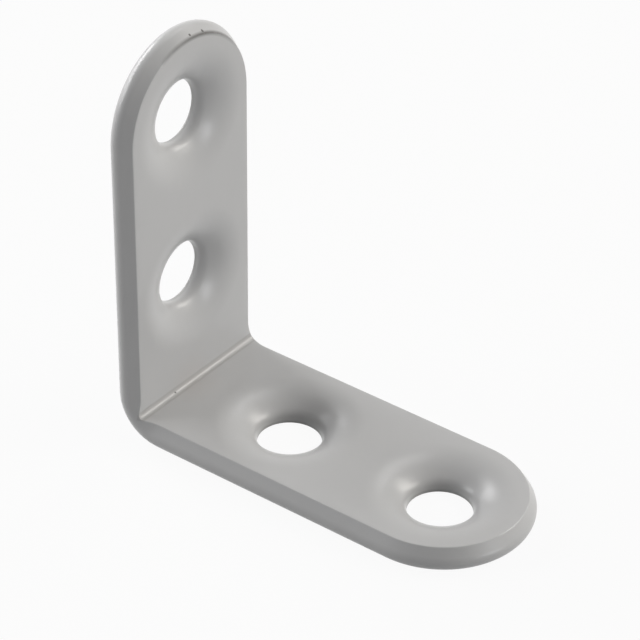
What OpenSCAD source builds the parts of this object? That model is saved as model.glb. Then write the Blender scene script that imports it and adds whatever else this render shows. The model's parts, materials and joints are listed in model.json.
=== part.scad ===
// Angle bracket: one strip of steel with round ends, bent once to a right angle,
// with two countersunk screw holes in each leg.
//
// Frame: x runs along the base leg and z up the wall leg, both measured from the
// outer corner of the bend, and y runs across the strip, centred on it. The base
// leg's outer face lies in z = 0 and the wall leg's outer face in x = 0, so the
// countersunk faces look into the corner, up and forwards.

/* [Legs] */
// Length of each leg, from the outer corner to the tip
leg_len = 30; // [28.5:0.5:60]
// Width of the strip at its widest
strip_w = 13.2; // [12:0.2:16]
// Thickness of the strip
strip_t = 1.9; // [1.8:0.1:2.2]

/* [Bend] */
// Radius on the inside of the bend
bend_r = 0.4; // [0.2:0.1:2.5]
// How much the outside of the bend is rounder than an even strip would make it
bend_ease = 1.2; // [0:0.1:1.4]

/* [Cut edge] */
// How far the cut edge leans in, on each side, up to the inner face
edge_lean = 0.5; // [0.1:0.05:0.6]
// Radius where the cut edge rolls over on to the outer face
outer_edge_r = 0.8; // [0.3:0.05:0.9]

/* [Holes] */
// Diameter of the screw holes
hole_d = 4.6; // [3.6:0.1:5.2]
// Distance from one hole to the other in the same leg
hole_pitch = 13; // [11:0.5:14.5]
// Height of the straight stretch at the outer face, below the countersink
land_h = 0.2; // [0.1:0.05:0.25]
// Radius of the throat, where the countersink runs into the straight stretch
throat_r = 1; // [0.5:0.1:1]
// Angle of the countersink's cone
sink_angle = 112; // [108:1:120]
// Radius of the soft lip between the cone and the inner face
lip_r = 4.5; // [3:0.25:4.75]

/* [Hidden] */
$fn = 96;
over = 1;                                 // how far a cutter passes a face

end_r = strip_w / 2;                      // the ends are full half rounds
last_hole = leg_len - end_r;              // the outer hole shares the end's centre
first_hole = last_hole - hole_pitch;
bend_out_r = bend_r + strip_t + bend_ease;

// The cut edge is a straight line from the inner face's sharp edge, which touches the
// roll-over. Each point below is [across the strip, up from the outer face].
roll_c = [strip_w / 2 - outer_edge_r, outer_edge_r];
sharp_edge = [strip_w / 2 - edge_lean, strip_t];
run = sharp_edge - roll_c;
edge_turn = atan2(run[1], run[0]) - acos(outer_edge_r / norm(run));
roll_end = roll_c + outer_edge_r * [cos(edge_turn), sin(edge_turn)];
lean_in = (sharp_edge[0] - roll_end[0]) / (sharp_edge[1] - roll_end[1]);

// The countersink is a short cone between two arcs. The throat's arc touches the land and
// the cone, and the soft lip's arc touches the cone and the inner face.
wall_slope = 90 - sink_angle / 2;         // the cone's rise above the inner face's plane
throat_reach = throat_r * tan(sink_angle / 4);
cone_foot = land_h + throat_reach;        // where the cone would meet the hole's side
cone_rim = hole_d / 2 + (strip_t - cone_foot) / tan(wall_slope);
lip_reach = lip_r * tan(wall_slope / 2);  // from the cone's rim to where the arc starts

// Right half of the strip's section, from its middle to its cut edge, as high as asked
module half_section(height = strip_t) {
    polygon([
        [0, 0],
        [roll_c[0], 0],
        roll_end,
        [roll_end[0] + lean_in * (height - roll_end[1]), height],
        [0, height],
    ]);
    translate(roll_c) circle(outer_edge_r);
}

module section(height = strip_t) {
    half_section(height);
    mirror([1, 0]) half_section(height);
}

// Half of the cutter for one hole: the hole itself, the cone, and the arcs at its ends
module half_hole() {
    translate([0, -over]) square([hole_d / 2, strip_t + 2 * over]);
    polygon([
        [0, cone_foot],
        [hole_d / 2, cone_foot],
        [cone_rim, strip_t],
        [0, strip_t],
    ]);
    throat_end = [
        hole_d / 2 + throat_reach * cos(wall_slope),
        cone_foot + throat_reach * sin(wall_slope),
    ];
    difference() {
        polygon([
            [0, land_h],
            [hole_d / 2, land_h],
            throat_end,
            [0, throat_end[1]],
        ]);
        translate([hole_d / 2 + throat_r, land_h]) circle(throat_r);
    }
    difference() {
        polygon([
            [cone_rim - lip_reach * cos(wall_slope), strip_t - lip_reach * sin(wall_slope)],
            [cone_rim + lip_reach, strip_t],
            [cone_rim + lip_reach, strip_t + over],
            [0, strip_t + over],
            [0, strip_t],
        ]);
        translate([cone_rim + lip_reach, strip_t - lip_r]) circle(lip_r);
    }
}

// A screw hole, countersunk from the inner face
module screw_hole(along) {
    translate([along, 0, 0]) rotate_extrude() half_hole();
}

// The flat base leg, from the bend to its round tip, with its outer face in z = 0
module leg() {
    difference() {
        union() {
            translate([bend_out_r, 0, 0])
                rotate([90, 0, 90])
                    linear_extrude(last_hole - bend_out_r) section();
            translate([last_hole, 0, 0])
                rotate([0, 0, -90])
                    rotate_extrude(angle = 180) half_section();
        }
        screw_hole(first_hole);
        screw_hole(last_hole);
    }
}

// Cuts the inside of the bend out: both inner faces and the small radius between them
module inside_corner() {
    reach = bend_out_r - strip_t + over;
    start = strip_t + bend_r;
    translate([0, strip_w / 2 + over, 0])
        rotate([90, 0, 0])
            linear_extrude(strip_w + 2 * over) {
                translate([start, strip_t]) square([reach - bend_r, reach]);
                translate([strip_t, start]) square([reach, reach - bend_r]);
                translate([start, start]) circle(bend_r);
            }
}

// The quarter turn between the legs, round an axis across the strip. Bent this
// tightly, the strip thins a little, so its outside is rounder than its inside asks.
module bend() {
    to_cut = strip_t + bend_r / 2;
    difference() {
        translate([bend_out_r, 0, bend_out_r])
            rotate([90, 0, 0])
                rotate_extrude(angle = 90, start = 180)
                    translate([bend_out_r, 0])
                        rotate(90) section(to_cut);
        inside_corner();
    }
}

module bracket() {
    color([0.69, 0.69, 0.68]) {
        leg();
        bend();
        mirror([1, 0, -1]) leg();
    }
}

bracket();
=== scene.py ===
# %% [markdown]
# # A painted angle bracket
#
# The object is a small angle bracket: one flat steel strip with half-round ends, four
# countersunk screw holes and one right-angle bend, under a coat of satin grey paint.
# This lesson rebuilds its skin as one clean mesh of four-sided faces and then mixes the
# paint, lays the floor, hangs the lamps and sets the camera.
#
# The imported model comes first. It fixes where everything is, so nothing here is fitted by
# eye: lengths are in metres, and the outer corner of the bend sits at the origin.

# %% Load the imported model
import json
import math

import bmesh
import bpy
from mathutils import Matrix, Vector


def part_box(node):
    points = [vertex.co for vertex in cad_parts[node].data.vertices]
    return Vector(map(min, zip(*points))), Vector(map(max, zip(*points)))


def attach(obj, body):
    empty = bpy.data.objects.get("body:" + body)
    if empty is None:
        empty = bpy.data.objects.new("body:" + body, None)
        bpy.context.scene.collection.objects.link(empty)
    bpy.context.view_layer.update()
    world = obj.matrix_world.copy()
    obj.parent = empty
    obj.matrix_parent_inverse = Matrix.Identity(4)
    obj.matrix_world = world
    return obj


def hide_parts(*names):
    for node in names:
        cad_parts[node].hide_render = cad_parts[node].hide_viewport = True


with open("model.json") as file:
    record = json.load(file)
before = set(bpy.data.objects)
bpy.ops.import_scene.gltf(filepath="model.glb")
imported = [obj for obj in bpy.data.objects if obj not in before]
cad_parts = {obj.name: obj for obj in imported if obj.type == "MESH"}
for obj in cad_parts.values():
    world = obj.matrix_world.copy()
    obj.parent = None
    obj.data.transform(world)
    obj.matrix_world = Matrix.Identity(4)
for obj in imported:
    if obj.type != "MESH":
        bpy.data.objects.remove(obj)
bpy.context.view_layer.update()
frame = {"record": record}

# %% [markdown]

# %% [markdown]
# ## Sizes
#
# The length of a leg and the width of the strip are read from the imported node. The places
# and the radius of the screw holes are read from the record's mounts. Only the sizes that
# neither of them states are written here.

# %% Read the leading sizes
MM = 0.001
strip_low, strip_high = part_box("bracket")
LEG_LEN = strip_high.x
HALF_W = (strip_high.y - strip_low.y) / 2
mounts = {mount["name"]: mount for mount in frame["record"]["mounts"]}
FIRST_HOLE = mounts["base_bore_inner"]["pos_m"][0]
LAST_HOLE = mounts["base_bore_outer"]["pos_m"][0]
HOLE_R = mounts["base_bore_inner"]["dims"]["r_mm"] * MM
print("leg", LEG_LEN, "half width", HALF_W, "holes at", FIRST_HOLE, LAST_HOLE, "radius", HOLE_R)

# %% Sizes of the section
STRIP_T = 1.9 * MM
BEND_IN_R = 0.4 * MM
BEND_OUT_R = 3.5 * MM
EDGE_LEAN = 0.5 * MM
OUTER_EDGE_R = 0.8 * MM
INNER_EDGE_R = 0.1 * MM
LAND_H = 0.2 * MM
THROAT_R = 1 * MM
LIP_R = 4.5 * MM
SINK_ANGLE = math.radians(112)
SINK_SLOPE = (math.pi - SINK_ANGLE) / 2
print("strip", STRIP_T, "thick, countersink", round(math.degrees(SINK_ANGLE)), "degrees wide")

# %% [markdown]
# ## The cut edge
#
# A press cuts the strip out of sheet. On the side where the punch enters, the steel is
# dragged down into a soft roll-over. Below it the cut leans in a little and ends in an edge
# that is nearly sharp. The bracket is bent with the roll-over outside, so its sharp edge is
# the one round the inner face.
#
# The edge is drawn once, as pairs of a distance in from the strip's side and a height above
# its outer face. Every long side, both ends and the bend then sweep this same line.

# %% Helpers for points and shares
def arc(centre, radius, start, end, steps):
    """Points on a circle from one angle to another, both ends included."""
    points = []
    for k in range(steps + 1):
        turn = start + (end - start) * k / steps
        points.append((centre[0] + radius * math.cos(turn), centre[1] + radius * math.sin(turn)))
    return points


def between(first, last, parts):
    """Points on a straight line, at the given parts of its length."""
    return [tuple(a + (b - a) * part for a, b in zip(first, last)) for part in parts]


def share(value, none, full):
    """How far a value has come from one number, as 0, to the other, as 1."""
    return min(max((value - none) / (full - none), 0.0), 1.0)


# %% Draw the cut edge
CRISP_STEPS = 4
ROLL_STEPS = 12
FLANK_PARTS = (0.04, 0.3, 0.6, 0.9)


def cut_edge():
    """Pairs of (inset, height), from the inner face over the cut to the outer face."""
    roll = (HALF_W - OUTER_EDGE_R, OUTER_EDGE_R)
    crisp = (HALF_W - EDGE_LEAN - INNER_EDGE_R, STRIP_T - INNER_EDGE_R)
    run = math.dist(roll, crisp)
    turn = math.atan2(crisp[1] - roll[1], crisp[0] - roll[0])
    turn -= math.acos((OUTER_EDGE_R - INNER_EDGE_R) / run)
    crisp_arc = arc(crisp, INNER_EDGE_R, math.radians(90), turn, CRISP_STEPS)
    roll_arc = arc(roll, OUTER_EDGE_R, turn, math.radians(-90), ROLL_STEPS)
    flank = between(crisp_arc[-1], roll_arc[0], FLANK_PARTS)
    return [(HALF_W - across, height) for across, height in crisp_arc + flank + roll_arc]


EDGE = cut_edge()
FLANK_TOP = EDGE[CRISP_STEPS]
FLANK_FOOT = EDGE[-1 - ROLL_STEPS]
TOP_HALF = HALF_W - EDGE[0][0]
print("cut edge:", len(EDGE), "points, flat inner face", round(TOP_HALF * 2000, 2), "mm wide")

# %% [markdown]
# ## The countersunk hole
#
# A punch leaves a short straight land at the bottom, whose edge the paint rounds a little.
# The press then opens the mouth into a shallow dish that takes a flat screw head. Nothing in
# it is sharp: the throat rounds over from the land into a short cone, and above the cone the
# dish rounds over in one long arc to the flat face. Each arc touches what it meets without a
# corner, so light slides into the hole with no line. The section is drawn once, and every
# hole turns it round its own axis.

# %% Draw the hole's section
FOOT_R = 0.08 * MM
FOOT_STEPS = 4
THROAT_STEPS = 9
LIP_STEPS = 12


def hole_section():
    """Pairs of (radius, height), from the bottom of the hole to the flat inner face."""
    upright, flat = math.radians(180), math.radians(90)
    throat = arc((HOLE_R + THROAT_R, LAND_H), THROAT_R, upright, flat + SINK_SLOPE, THROAT_STEPS)
    cone_foot = LAND_H + THROAT_R * math.tan((flat - SINK_SLOPE) / 2)
    cone_rim = HOLE_R + (STRIP_T - cone_foot) / math.tan(SINK_SLOPE)
    dish_r = cone_rim + LIP_R * math.tan(SINK_SLOPE / 2)
    lip = arc((dish_r, STRIP_T - LIP_R), LIP_R, flat + SINK_SLOPE, flat, LIP_STEPS)
    foot = arc((HOLE_R + FOOT_R, FOOT_R), FOOT_R, math.radians(270), upright, FOOT_STEPS)
    return foot + throat + lip


HOLE = hole_section()
MOUTH_R = HOLE[-1][0]
print("hole section:", len(HOLE), "points, dish", round(MOUTH_R * 2000, 2), "mm across")

# %% [markdown]
# ## A leg, built in spokes
#
# Faces that follow a hole should run round it, not cut across it. So each leg is split into
# two blocks, one round each hole, and spokes run from the hole to the block's outline. The
# outline is the long side, the half-round end or a seam to the next block. A block made in
# this way has only four-sided faces, and the shading round the hole stays smooth.

# %% The four sides of a block, as seen from its hole
SEAM_STEPS = 24
SIDE_STEPS = 32
END_STEPS = 96


def turns(start, end, steps):
    """Even angles from one to another, both ends included."""
    return [start + (end - start) * k / steps for k in range(steps + 1)]


def block_sides(near, far):
    """Spoke angles for the far seam or half-round end, a long side, the near seam, a side."""
    far_turn = math.atan2(TOP_HALF, far) if far else math.pi / 2
    near_turn = math.pi - math.atan2(TOP_HALF, near)
    return [
        turns(-far_turn, far_turn, SEAM_STEPS if far else END_STEPS),
        turns(far_turn, near_turn, SIDE_STEPS),
        turns(near_turn, 2 * math.pi - near_turn, SEAM_STEPS),
        turns(2 * math.pi - near_turn, 2 * math.pi - far_turn, SIDE_STEPS),
    ]


def spoke_end(side, angle, near, far, half):
    """Where a spoke leaves the block: its distances along and across the strip."""
    if side == 0 and far:
        return (far, far * math.tan(angle) * half / TOP_HALF)
    if side == 0:
        return (half * math.cos(angle), half * math.sin(angle))
    if side == 2:
        return (-near, -near * math.tan(angle) * half / TOP_HALF)
    return (TOP_HALF / abs(math.tan(angle)) * math.copysign(1, math.cos(angle)), half * (2 - side))


# %% One block: grids for its inner face, its outer face and its cut edges
FACE_PARTS = (0.3, 0.7, 1.0)
SOLE_PARTS = (0.0, 0.06, 0.35, 0.7, 0.96, 1.0)


def block(hole_at, near, far=None):
    """Grids of points (along, across, height) for one block of the strip."""
    upper, lower, edges = [], [], []
    for side, angles in enumerate(block_sides(near, far)):
        columns = []
        for angle in angles:
            out = (math.cos(angle), math.sin(angle))
            hole = [(hole_at + out[0] * r, out[1] * r, h) for r, h in HOLE]
            column = []
            for inset, height in EDGE:
                along, across = spoke_end(side, angle, near, far, HALF_W - inset)
                column.append((hole_at + along, across, height))
            upper.append(hole + between(hole[-1], column[0], FACE_PARTS))
            lower.append(between(column[-1], hole[0], SOLE_PARTS))
            columns.append(column)
        if side in (1, 3) or (side == 0 and not far):
            edges.append(columns)
    return [upper, lower] + edges


# %% [markdown]
# ## Sewing the grids
#
# Every grid becomes rows of four-sided faces. Neighbouring grids share their border points
# exactly, so one weld at the end joins them all into a closed skin.

# %% Lay faces over a grid of points
def lay(skin, rows):
    """Four-sided faces over rows of points, which all have the same count."""
    made = [[skin.verts.new(point) for point in row] for row in rows]
    for here, there in zip(made, made[1:]):
        for k in range(len(here) - 1):
            skin.faces.new((here[k], there[k], there[k + 1], here[k + 1]))


def standing(point):
    """The same point of the strip, on the leg that stands up."""
    along, across, height = point
    return (height, across, along)


# %% Lay both legs
skin = bmesh.new()
MIDDLE = (FIRST_HOLE + LAST_HOLE) / 2
inner_block = block(FIRST_HOLE, FIRST_HOLE - BEND_OUT_R, MIDDLE - FIRST_HOLE)
outer_block = block(LAST_HOLE, LAST_HOLE - MIDDLE)
for rows in inner_block + outer_block:
    lay(skin, rows)
    lay(skin, [[standing(point) for point in row] for row in rows])
print("two legs laid:", len(skin.faces), "faces")

# %% [markdown]
# ## The bend
#
# The strip was bent cold in a press, over a tool with a small radius. The steel thins where it
# is stretched, so the outside of the bend is rounder than the inside asks for. The inside is
# therefore walked first: along the lying leg, round the small radius and up the standing leg.
# Each stop on that walk gets one ring of the strip's section, turned to face the centre of the
# outer curve and made just thin enough to end at the stop.

# %% Walk along the inside of the bend
CORNER = STRIP_T + BEND_IN_R
BEND_STEPS = 20


def inside_walk():
    """Points (x, z) along the inside of the bend, from one seam to the other."""
    turned = arc((CORNER, CORNER), BEND_IN_R, math.radians(-90), math.radians(-180), BEND_STEPS)
    lying = between((BEND_OUT_R, STRIP_T), turned[0], (0.0, 0.25, 0.5, 0.75, 0.95))
    rising = [(z, x) for x, z in reversed(lying)]
    return lying + turned + rising


# %% Thin the section where the bend is thinner
def thinned(inset, height, thin):
    """A point of the cut edge where the strip is thinner by the given amount."""
    drop = thin * share(height, FLANK_FOOT[1], FLANK_TOP[1])
    slope = (FLANK_TOP[0] - FLANK_FOOT[0]) / (FLANK_TOP[1] - FLANK_FOOT[1])
    return (inset - drop * slope, height - drop)


def bend_section(thin):
    """Closed outline (across, height) of the strip at one stop of the bend."""
    near = FIRST_HOLE - BEND_OUT_R
    parts = [near * math.tan(angle) / TOP_HALF for angle in block_sides(near, None)[2]]
    edge = [thinned(inset, height, thin) for inset, height in EDGE]
    right = [(HALF_W - inset, height) for inset, height in edge]
    top = [(part * right[0][0], right[0][1]) for part in parts]
    foot = [(-part * right[-1][0], right[-1][1]) for part in parts]
    left = [(-across, height) for across, height in reversed(right)]
    return top + right[1:-1] + foot + left[1:-1] + top[:1]


# %% Sweep the section round the bend
sweep = []
for x, z in inside_walk():
    run = math.dist((x, z), (BEND_OUT_R, BEND_OUT_R))
    lean = ((BEND_OUT_R - x) / run, (BEND_OUT_R - z) / run)
    ring = []
    for across, height in bend_section(STRIP_T - BEND_OUT_R + run):
        reach = BEND_OUT_R - height
        ring.append((BEND_OUT_R - reach * lean[0], across, BEND_OUT_R - reach * lean[1]))
    sweep.append(ring)
lay(skin, sweep)
print("bend laid:", len(sweep), "rings,", len(skin.faces), "faces so far")

# %% Weld the skin and look for open edges
bmesh.ops.remove_doubles(skin, verts=skin.verts[:], dist=0.001 * MM)
bmesh.ops.recalc_face_normals(skin, faces=skin.faces[:])
open_edges = [edge for edge in skin.edges if len(edge.link_faces) != 2]
print("welded:", len(skin.faces), "faces,", len(open_edges), "open edges")

# %% Make the bracket's skin a piece of the model
skin_mesh = bpy.data.meshes.new("painted_bracket")
skin.to_mesh(skin_mesh)
skin.free()
skin_mesh.shade_smooth()
bracket = bpy.data.objects.new("painted_bracket", skin_mesh)
bpy.context.scene.collection.objects.link(bracket)
even = bracket.modifiers.new("even_normals", "WEIGHTED_NORMAL")
even.weight = 100
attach(bracket, "root")
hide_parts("bracket")
print("painted bracket:", len(skin_mesh.vertices), "points")

# %% [markdown]
# ## Where the coat is rubbed, and painted shade in the holes
#
# Paint draws back from sharp edges while it is wet, and that is where it wears first. On this
# bracket the edge round the tip of the standing leg has rubbed through to a thin dark line,
# strongest a little past the top. The short land inside each hole is marked for painted shade,
# which darkens its colour. Both places are marked on the mesh, as one number per point from 0
# to 1: for the edge from a full coat to rubbed through, for the land from no shade to full shade.

# %% Measure the rubbed edge and the bores
WORN_MIDDLE = math.radians(14)
WORN_REACH = math.radians(42)
WORN_RADIUS = HALF_W - EDGE_LEAN
WORN_CORE = 0.056 * MM
WORN_RIM = 0.196 * MM
BORE_SHADE_FULL = 0.6 * LAND_H
BORE_SHADE_NONE = 1.6 * LAND_H
BORE_REACH = 0.2 * MM


def rubbed_edge(point):
    """How far the tip's edge is rubbed through at a point of the standing leg."""
    up, across = point.z - LAST_HOLE, point.y
    off_edge = math.dist((point.x, math.hypot(up, across)), (STRIP_T, WORN_RADIUS))
    off_middle = abs(math.atan2(across, up) - WORN_MIDDLE)
    return share(off_edge, WORN_RIM, WORN_CORE) * math.sqrt(share(off_middle, WORN_REACH, 0))


def bore_depth(along, across, height):
    """Painted shade on the land of a hole: 1 there, fading out up the throat."""
    off_hole = min(math.dist((along, across), (hole, 0)) for hole in (FIRST_HOLE, LAST_HOLE))
    if off_hole > HOLE_R + BORE_REACH:
        return 0.0
    return share(height, BORE_SHADE_NONE, BORE_SHADE_FULL)


# %% Mark them on the mesh
rubbed = skin_mesh.attributes.new("rubbed", "FLOAT", "POINT")
# The bore mark holds painted shade for the land inside each hole.
bore_shade_marks = skin_mesh.attributes.new("bore", "FLOAT", "POINT")
for vertex in skin_mesh.vertices:
    spot = vertex.co
    along, height = max(spot.x, spot.z), min(spot.x, spot.z)
    rubbed.data[vertex.index].value = rubbed_edge(spot)
    bore_shade_marks.data[vertex.index].value = bore_depth(along, spot.y, height)
print("rubbed points:", sum(item.value > 0 for item in rubbed.data))

# %% [markdown]
# ## The paint
#
# The coat is a satin enamel in a plain light grey, sprayed over a dark primer. It levels out
# well: there is only a shallow orange peel, which breaks up the soft spots on the lips of the
# holes, a slight drift in shade and a gloss that isn't quite even. The crease and the land
# inside each hole get painted shade: their colour is made darker there. Where the coat is
# rubbed through, the dark primer shows, in a ragged line and in two small chips on the same edge.

# %% Helpers for shader nodes
def node(tree, kind, place, **settings):
    """Add a shader node and set its plain properties."""
    made = tree.nodes.new(kind)
    made.location = place
    for name, value in settings.items():
        setattr(made, name, value)
    return made


def sums(tree, operation, first, second, place):
    """A Math node on two inputs, each a socket or a number. Gives its clamped output."""
    made = node(tree, "ShaderNodeMath", place, operation=operation, use_clamp=True)
    for slot, value in zip(made.inputs, (first, second)):
        if isinstance(value, (int, float)):
            slot.default_value = value
        else:
            tree.links.new(value, slot)
    return made.outputs[0]


def layer(tree, cover, under, colour, place):
    """Lay a colour over another one, as thickly as the cover says. Gives the result."""
    made = node(tree, "ShaderNodeMix", place, data_type="RGBA")
    tree.links.new(cover, made.inputs["Factor"])
    tree.links.new(under, made.inputs["A"])
    made.inputs["B"].default_value = colour
    return made.outputs["Result"]


# %% Helpers for patterns and masks
def noise(tree, places, scale, detail, place):
    """A noise in space. The scale is its lumps per metre, roughly."""
    made = node(tree, "ShaderNodeTexNoise", place)
    made.inputs["Scale"].default_value = scale
    made.inputs["Detail"].default_value = detail
    tree.links.new(places, made.inputs["Vector"])
    return made


def fade(tree, value, full, none, place):
    """1 where the value is at one number or past it, fading to 0 at the other."""
    made = node(tree, "ShaderNodeMapRange", place)
    made.inputs["From Min"].default_value = full
    made.inputs["From Max"].default_value = none
    made.inputs["To Min"].default_value = 1
    made.inputs["To Max"].default_value = 0
    tree.links.new(value, made.inputs["Value"])
    return made.outputs["Result"]


def soft_spot(tree, places, point, radius, soft, place):
    """A round mask in space: 1 at a point, and 0 outside its radius."""
    off = node(tree, "ShaderNodeVectorMath", place, operation="DISTANCE")
    tree.links.new(places, off.inputs[0])
    off.inputs[1].default_value = point
    beside = (place[0] + 180, place[1])
    return fade(tree, off.outputs["Value"], radius * (1 - soft), radius, beside)


# %% Places of the small flaws
def on_tip_edge(degrees, out):
    """A point by the tip's edge, so many degrees past the top, outside it by a little."""
    turn = math.radians(degrees)
    reach = WORN_RADIUS + out
    return (STRIP_T - 2 * out, reach * math.sin(turn), LAST_HOLE + reach * math.cos(turn))


IN_CREASE = CORNER - 0.28 * MM
CHIPS = [(on_tip_edge(15, 0.1 * MM), 0.15 * MM), (on_tip_edge(3, 0.12 * MM), 0.12 * MM)]
SPECK = ((IN_CREASE, -2.45 * MM, IN_CREASE), 0.09 * MM)
DUST = ((STRIP_T, -0.8 * MM, STRIP_T), 2.6 * MM)
print("chips and speck:", len(CHIPS) + 1)

# %% [markdown]
# ### Bare primer
#
# A rubbed line never has a clean border. So the places that the masks measure are shaken by
# a fine noise first, which tears their outlines, and the same noise makes the line patchy.

# %% Find the bare spots
TEAR = 0.16 * MM


def torn(tree, places, shake):
    """The places, each shifted by a little to any side."""
    shifted = node(tree, "ShaderNodeVectorMath", (-1450, -250), operation="MULTIPLY_ADD")
    tree.links.new(shake, shifted.inputs[0])
    shifted.inputs[1].default_value = (TEAR, TEAR, TEAR)
    tree.links.new(places, shifted.inputs[2])
    centred = node(tree, "ShaderNodeVectorMath", (-1300, -250), operation="SUBTRACT")
    tree.links.new(shifted.outputs["Vector"], centred.inputs[0])
    centred.inputs[1].default_value = (TEAR / 2, TEAR / 2, TEAR / 2)
    return centred.outputs["Vector"]


def bare_spots(tree, places):
    """A mask of the rubbed line, the chips and the speck."""
    fine = noise(tree, places, 5000, 3, (-1650, -250))
    rubbed_line = node(tree, "ShaderNodeAttribute", (-1300, 100), attribute_name="rubbed")
    patches = sums(tree, "MULTIPLY", fine.outputs["Fac"], 1.1, (-1200, 0))
    patchy = sums(tree, "ADD", patches, 0.5, (-1050, 50))
    bare = sums(tree, "MULTIPLY", rubbed_line.outputs["Fac"], patchy, (-850, 100))
    shaken = torn(tree, places, fine.outputs["Color"])
    for count, (point, radius) in enumerate(CHIPS + [SPECK]):
        chip = soft_spot(tree, shaken, point, radius, 0.35, (-1050, -150 - 220 * count))
        bare = sums(tree, "MAXIMUM", bare, chip, (-600, -100 - 150 * count))
    return bare


# %% [markdown]
# ### Painted shade in the crease
#
# The crease runs along the strip's width, so two of the three directions are enough to find
# it. A point lies in the small radius where neither distance from the bend's outer corner
# goes past the radius, and on the inner side where neither is less than the thickness.

# %% Find the crease
def in_the_crease(tree, places, place):
    """Mask of painted shade inside the bend: 1 in its small radius, fading out on both faces."""
    parts = node(tree, "ShaderNodeSeparateXYZ", place)
    tree.links.new(places, parts.inputs[0])
    x, z = parts.outputs["X"], parts.outputs["Z"]
    left, middle, right = [place[0] + step for step in (200, 400, 600)]
    farther = sums(tree, "MAXIMUM", x, z, (left, place[1] + 100))
    nearer = sums(tree, "MINIMUM", x, z, (left, place[1] - 100))
    in_radius = fade(tree, farther, CORNER, CORNER + 0.12 * MM, (middle, place[1] + 100))
    inner_full, inner_none = STRIP_T - 0.02 * MM, STRIP_T - 0.1 * MM
    inside = fade(tree, nearer, inner_full, inner_none, (middle, place[1] - 100))
    return sums(tree, "MULTIPLY", in_radius, inside, (right, place[1]))


# %% [markdown]
# ### The coat
#
# The colour is built up in layers from below: the grey with its slow drift, a brownish patch
# of dust, painted shade in the crease and on the land inside each hole, and the bare primer
# over everything. The gloss drifts with the same noise as the colour.

# %% Colours
PAINT_DARKER = (0.458, 0.458, 0.462, 1)
PAINT_LIGHTER = (0.492, 0.492, 0.494, 1)
BROWNISH_DUST = (0.47, 0.435, 0.415, 1)
# Painted shade: the darker grey laid into the crease.
CREASE_SHADE_COLOUR = (0.36, 0.352, 0.345, 1)
# Painted shade: the darker grey laid on the land inside each hole.
BORE_SHADE_COLOUR = (0.18, 0.178, 0.17, 1)
PRIMER = (0.09, 0.085, 0.08, 1)


def coat_colour(tree, places, drift, bare):
    """Colour of the coat, from the plain grey up to the bare primer."""
    shades = node(tree, "ShaderNodeMix", (-1000, 500), data_type="RGBA")
    tree.links.new(drift, shades.inputs["Factor"])
    shades.inputs["A"].default_value = PAINT_DARKER
    shades.inputs["B"].default_value = PAINT_LIGHTER
    bore = node(tree, "ShaderNodeAttribute", (-1300, 850), attribute_name="bore")
    # The bore mark sets painted shade: the colour on the land inside each hole is made darker.
    thin = sums(tree, "MULTIPLY", bore.outputs["Fac"], 0.45, (-1050, 850))
    dust_spot = soft_spot(tree, places, *DUST, 0.9, (-1050, 1150))
    dusty = sums(tree, "MULTIPLY", dust_spot, 0.35, (-700, 1150))
    # The crease mask sets painted shade: it darkens the colour along the inside of the bend.
    crease = in_the_crease(tree, places, (-1700, 1500))
    crease_shade = sums(tree, "MULTIPLY", crease, 0.65, (-700, 1500))
    colour = layer(tree, dusty, shades.outputs["Result"], BROWNISH_DUST, (-500, 700))
    colour = layer(tree, crease_shade, colour, CREASE_SHADE_COLOUR, (-400, 650))
    colour = layer(tree, thin, colour, BORE_SHADE_COLOUR, (-300, 600))
    return layer(tree, bare, colour, PRIMER, (-100, 500))


# %% Gloss and orange peel
SATIN = (0.26, 0.36)
PEEL_DEPTH = 0.012 * MM


def coat_gloss(tree, drift, bare):
    """Roughness: satin with a little drift, and matt where the primer shows."""
    satin = node(tree, "ShaderNodeMapRange", (-500, 200))
    satin.inputs["To Min"].default_value = SATIN[0]
    satin.inputs["To Max"].default_value = SATIN[1]
    tree.links.new(drift, satin.inputs["Value"])
    matt = sums(tree, "MULTIPLY", bare, 0.3, (-350, 50))
    return sums(tree, "ADD", satin.outputs["Result"], matt, (-150, 150))


def orange_peel(tree, places, bare):
    """Normal of the shallow ripple. The bare spots lie a coat's thickness lower."""
    peel = noise(tree, places, 1300, 1, (-500, -700))
    depth = sums(tree, "SUBTRACT", peel.outputs["Fac"], bare, (-300, -600))
    ripple = node(tree, "ShaderNodeBump", (-100, -500))
    ripple.inputs["Strength"].default_value = 0.5
    ripple.inputs["Distance"].default_value = PEEL_DEPTH
    tree.links.new(depth, ripple.inputs["Height"])
    return ripple.outputs["Normal"]


# %% Mix the paint
def satin_paint():
    """The bracket's satin grey paint, with the primer where it is rubbed through."""
    paint = bpy.data.materials.new("satin_grey_paint")
    paint.use_nodes = True
    tree = paint.node_tree
    shader = tree.nodes["Principled BSDF"]
    shader.inputs["IOR"].default_value = 1.5
    places = node(tree, "ShaderNodeTexCoord", (-1900, 0)).outputs["Object"]
    drift = noise(tree, places, 110, 2, (-1300, 500)).outputs["Fac"]
    bare = bare_spots(tree, places)
    tree.links.new(coat_colour(tree, places, drift, bare), shader.inputs["Base Color"])
    tree.links.new(coat_gloss(tree, drift, bare), shader.inputs["Roughness"])
    tree.links.new(orange_peel(tree, places, bare), shader.inputs["Normal"])
    return paint


bracket.data.materials.append(satin_paint())
print("paint:", len(bracket.active_material.node_tree.nodes), "nodes")

# %% [markdown]
# ## The floor
#
# The bracket rests on its lying leg on a plain sweep of matt white paper. The paper is wide
# enough to fill the view from any side. A small object on a brightly lit sweep nearly floats
# on white, so most of the paper's brightness is its own where the camera looks at it, also
# by way of a reflection, and only a hint of the shadow is left. For the light that it throws
# back up at the bracket it is plain matt paper.

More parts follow.
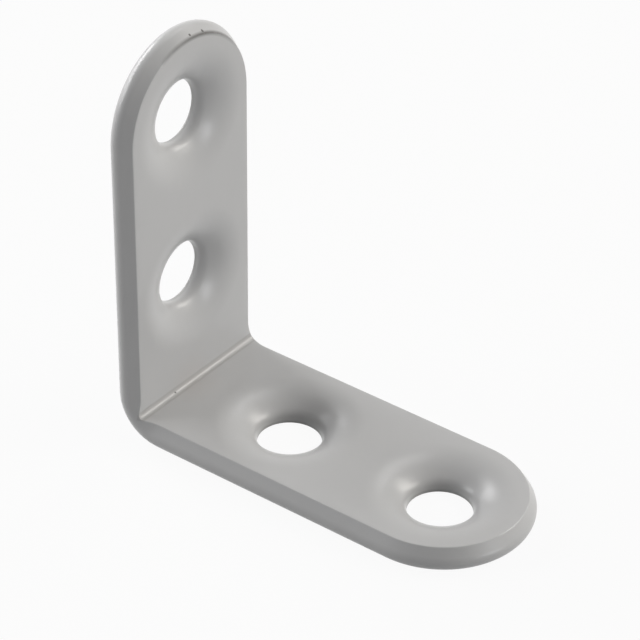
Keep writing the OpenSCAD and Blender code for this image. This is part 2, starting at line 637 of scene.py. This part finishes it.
# %% A helper that tells who looks
def seen(tree, place):
    """1 for rays that come from the camera, also by a reflection or through glass, else 0."""
    rays = node(tree, "ShaderNodeLightPath", place).outputs
    left, right = (place[0] + 200, place[1]), (place[0] + 400, place[1])
    plain = sums(tree, "MAXIMUM", rays["Is Camera Ray"], rays["Is Glossy Ray"], left)
    return sums(tree, "MAXIMUM", plain, rays["Is Transmission Ray"], right)


# %% Mix the paper
WHITE = (1, 1, 1, 1)
PAPER_GREY = (0.45, 0.45, 0.45, 1)
OWN_SHARE = 0.94


def white_paper():
    """Matt white paper that stays white behind the object and keeps a hint of its shadow."""
    paper = bpy.data.materials.new("white_paper")
    paper.use_nodes = True
    tree = paper.node_tree
    shader = tree.nodes["Principled BSDF"]
    shader.inputs["Base Color"].default_value = PAPER_GREY
    shader.inputs["Roughness"].default_value = 0.9
    shader.inputs["Specular IOR Level"].default_value = 0
    glow = node(tree, "ShaderNodeEmission", (-100, 200))
    glow.inputs["Color"].default_value = WHITE
    glow.inputs["Strength"].default_value = 1
    own_light = sums(tree, "MULTIPLY", seen(tree, (-700, 400)), OWN_SHARE, (-100, 400))
    mix = node(tree, "ShaderNodeMixShader", (200, 200))
    tree.links.new(own_light, mix.inputs["Fac"])
    tree.links.new(shader.outputs[0], mix.inputs[1])
    tree.links.new(glow.outputs[0], mix.inputs[2])
    tree.links.new(mix.outputs[0], tree.nodes["Material Output"].inputs["Surface"])
    return paper


# %% Lay the floor
PAPER_R = 1.2
PAPER_GAP = 0.02 * MM
sheet = bmesh.new()
bmesh.ops.create_circle(sheet, cap_ends=True, segments=64, radius=PAPER_R)
bmesh.ops.translate(sheet, verts=sheet.verts[:], vec=(LEG_LEN / 2, 0, -PAPER_GAP))
floor_mesh = bpy.data.meshes.new("floor")
sheet.to_mesh(floor_mesh)
sheet.free()
floor = bpy.data.objects.new("floor", floor_mesh)
bpy.context.scene.collection.objects.link(floor)
floor.data.materials.append(white_paper())
print("paper:", 2 * PAPER_R, "m across")

# %% [markdown]
# ## The room
#
# Beyond the paper there is a white studio. Camera rays and reflections see it at its full
# brightness, so the background stays white from any side. As a light it is held down to a
# small part of that, a plain even fill, so that the lamps shape the paint.

# %% Set up the room
ROOM_LIGHT = 0.15
world = bpy.data.worlds.new("studio")
bpy.context.scene.world = world
world.use_nodes = True
tree = world.node_tree
room = tree.nodes["Background"]
room.inputs["Color"].default_value = WHITE
room.inputs["Strength"].default_value = ROOM_LIGHT
beyond = node(tree, "ShaderNodeBackground", (-100, 100))
beyond.inputs["Color"].default_value = WHITE
beyond.inputs["Strength"].default_value = 1
blend = node(tree, "ShaderNodeMixShader", (150, 300))
tree.links.new(seen(tree, (-700, 500)), blend.inputs["Fac"])
tree.links.new(room.outputs[0], blend.inputs[1])
tree.links.new(beyond.outputs[0], blend.inputs[2])
tree.links.new(blend.outputs[0], tree.nodes["World Output"].inputs["Surface"])
print("room light:", ROOM_LIGHT, "of white")

# %% [markdown]
# ## The lamps
#
# Satin paint is shaped by what it reflects, so the lamps are plain soft boxes that stand well
# apart. A wide box behind, on the right, lights the wall leg's inner face. Three boxes on the
# left light the base leg and put the soft spots on the lips of its holes. A small box low on
# the right and a narrow one high up behind lift the dark sides of the countersinks. Nothing
# stands in front, so the cut edges that face the camera stay darker than the faces.

# %% A soft box
AIM = Vector((0.012, 0, 0.011))
AWAY = 0.9


def direction(azimuth, elevation):
    """Unit vector towards a lamp. Azimuth 0 is in front of the strip's near side."""
    turn, lift = math.radians(azimuth), math.radians(elevation)
    level = math.cos(lift)
    return Vector((math.sin(turn) * level, -math.cos(turn) * level, math.sin(lift)))


def soft_box(name, azimuth, elevation, wide, high, strength, tint=(1, 1, 1)):
    """A lamp that faces the bracket and looks so many degrees wide and high from there.

    Strength is its brightness, where a sheet of white paper is 1.
    """
    data = bpy.data.lights.new(name, "AREA")
    data.shape = "RECTANGLE"
    data.size = 2 * AWAY * math.tan(math.radians(wide / 2))
    data.size_y = 2 * AWAY * math.tan(math.radians(high / 2))
    data.energy = strength * math.pi * data.size * data.size_y
    data.color = tint
    lamp = bpy.data.objects.new(name, data)
    bpy.context.scene.collection.objects.link(lamp)
    back = direction(azimuth, elevation)
    lamp.location = AIM + back * AWAY
    lamp.rotation_mode = "QUATERNION"
    lamp.rotation_quaternion = back.to_track_quat("Z", "Y")


# %% Hang the lamps
COOL = (0.98, 1.0, 1.03)
WARM = (1.03, 1.0, 0.94)
soft_box("left_key", 264, 37, 20, 16, 8.5)
soft_box("left_wide", 276, 30, 60, 16, 5.4)
soft_box("left_low", 288, 19, 52, 28, 2.8)
soft_box("right_wide", 138, 34, 44, 22, 6.8, WARM)
soft_box("right_low", 92, 4, 20, 16, 6.8, COOL)
soft_box("top_box", 186, 52, 12, 34, 3.3)
print("lamps:", len(bpy.data.lights))

# %% [markdown]
# ## The camera
#
# The camera looks down from a little beside the strip, so that both inner faces, all four
# holes and the cut edge along one side are seen. A long lens from far off keeps the legs from
# tapering much. Three directions set how it is turned: back towards it, right and up, the
# last two rolled by a fraction of a degree.

# %% Set the camera
CAMERA_AZIMUTH = 36.879
CAMERA_ELEVATION = 34.56
CAMERA_ROLL = math.radians(0.637)
CAMERA_DISTANCE = 187.909 * MM
CAMERA_LENS = 159.29
LOOK_AT = Vector((15.141, -2.895, 14.09)) * MM
back = direction(CAMERA_AZIMUTH, CAMERA_ELEVATION)
right = back.cross(Vector((0, 0, 1))).normalized() * -1
up = back.cross(right)
rolled_right = right * math.cos(CAMERA_ROLL) + up * math.sin(CAMERA_ROLL)
rolled_up = up * math.cos(CAMERA_ROLL) - right * math.sin(CAMERA_ROLL)
camera_data = bpy.data.cameras.new("camera")
camera_data.sensor_width = 36
camera_data.lens = CAMERA_LENS
camera_data.clip_start = 10 * MM
camera_data.clip_end = 10
camera = bpy.data.objects.new("camera", camera_data)
bpy.context.scene.collection.objects.link(camera)
turned = Matrix((rolled_right, rolled_up, back)).transposed().to_4x4()
camera.matrix_world = Matrix.Translation(LOOK_AT + back * CAMERA_DISTANCE) @ turned
bpy.context.scene.camera = camera
bpy.context.scene.view_settings.view_transform = "Standard"
print("camera at", [round(v, 4) for v in camera.matrix_world.translation])

# %% [markdown]
# ## The finished box
#
# The finished model must fill the imported model's box and not pass it. The last cell brings
# the scene up to date.

# %% Bring the scene up to date
bpy.context.view_layer.update()
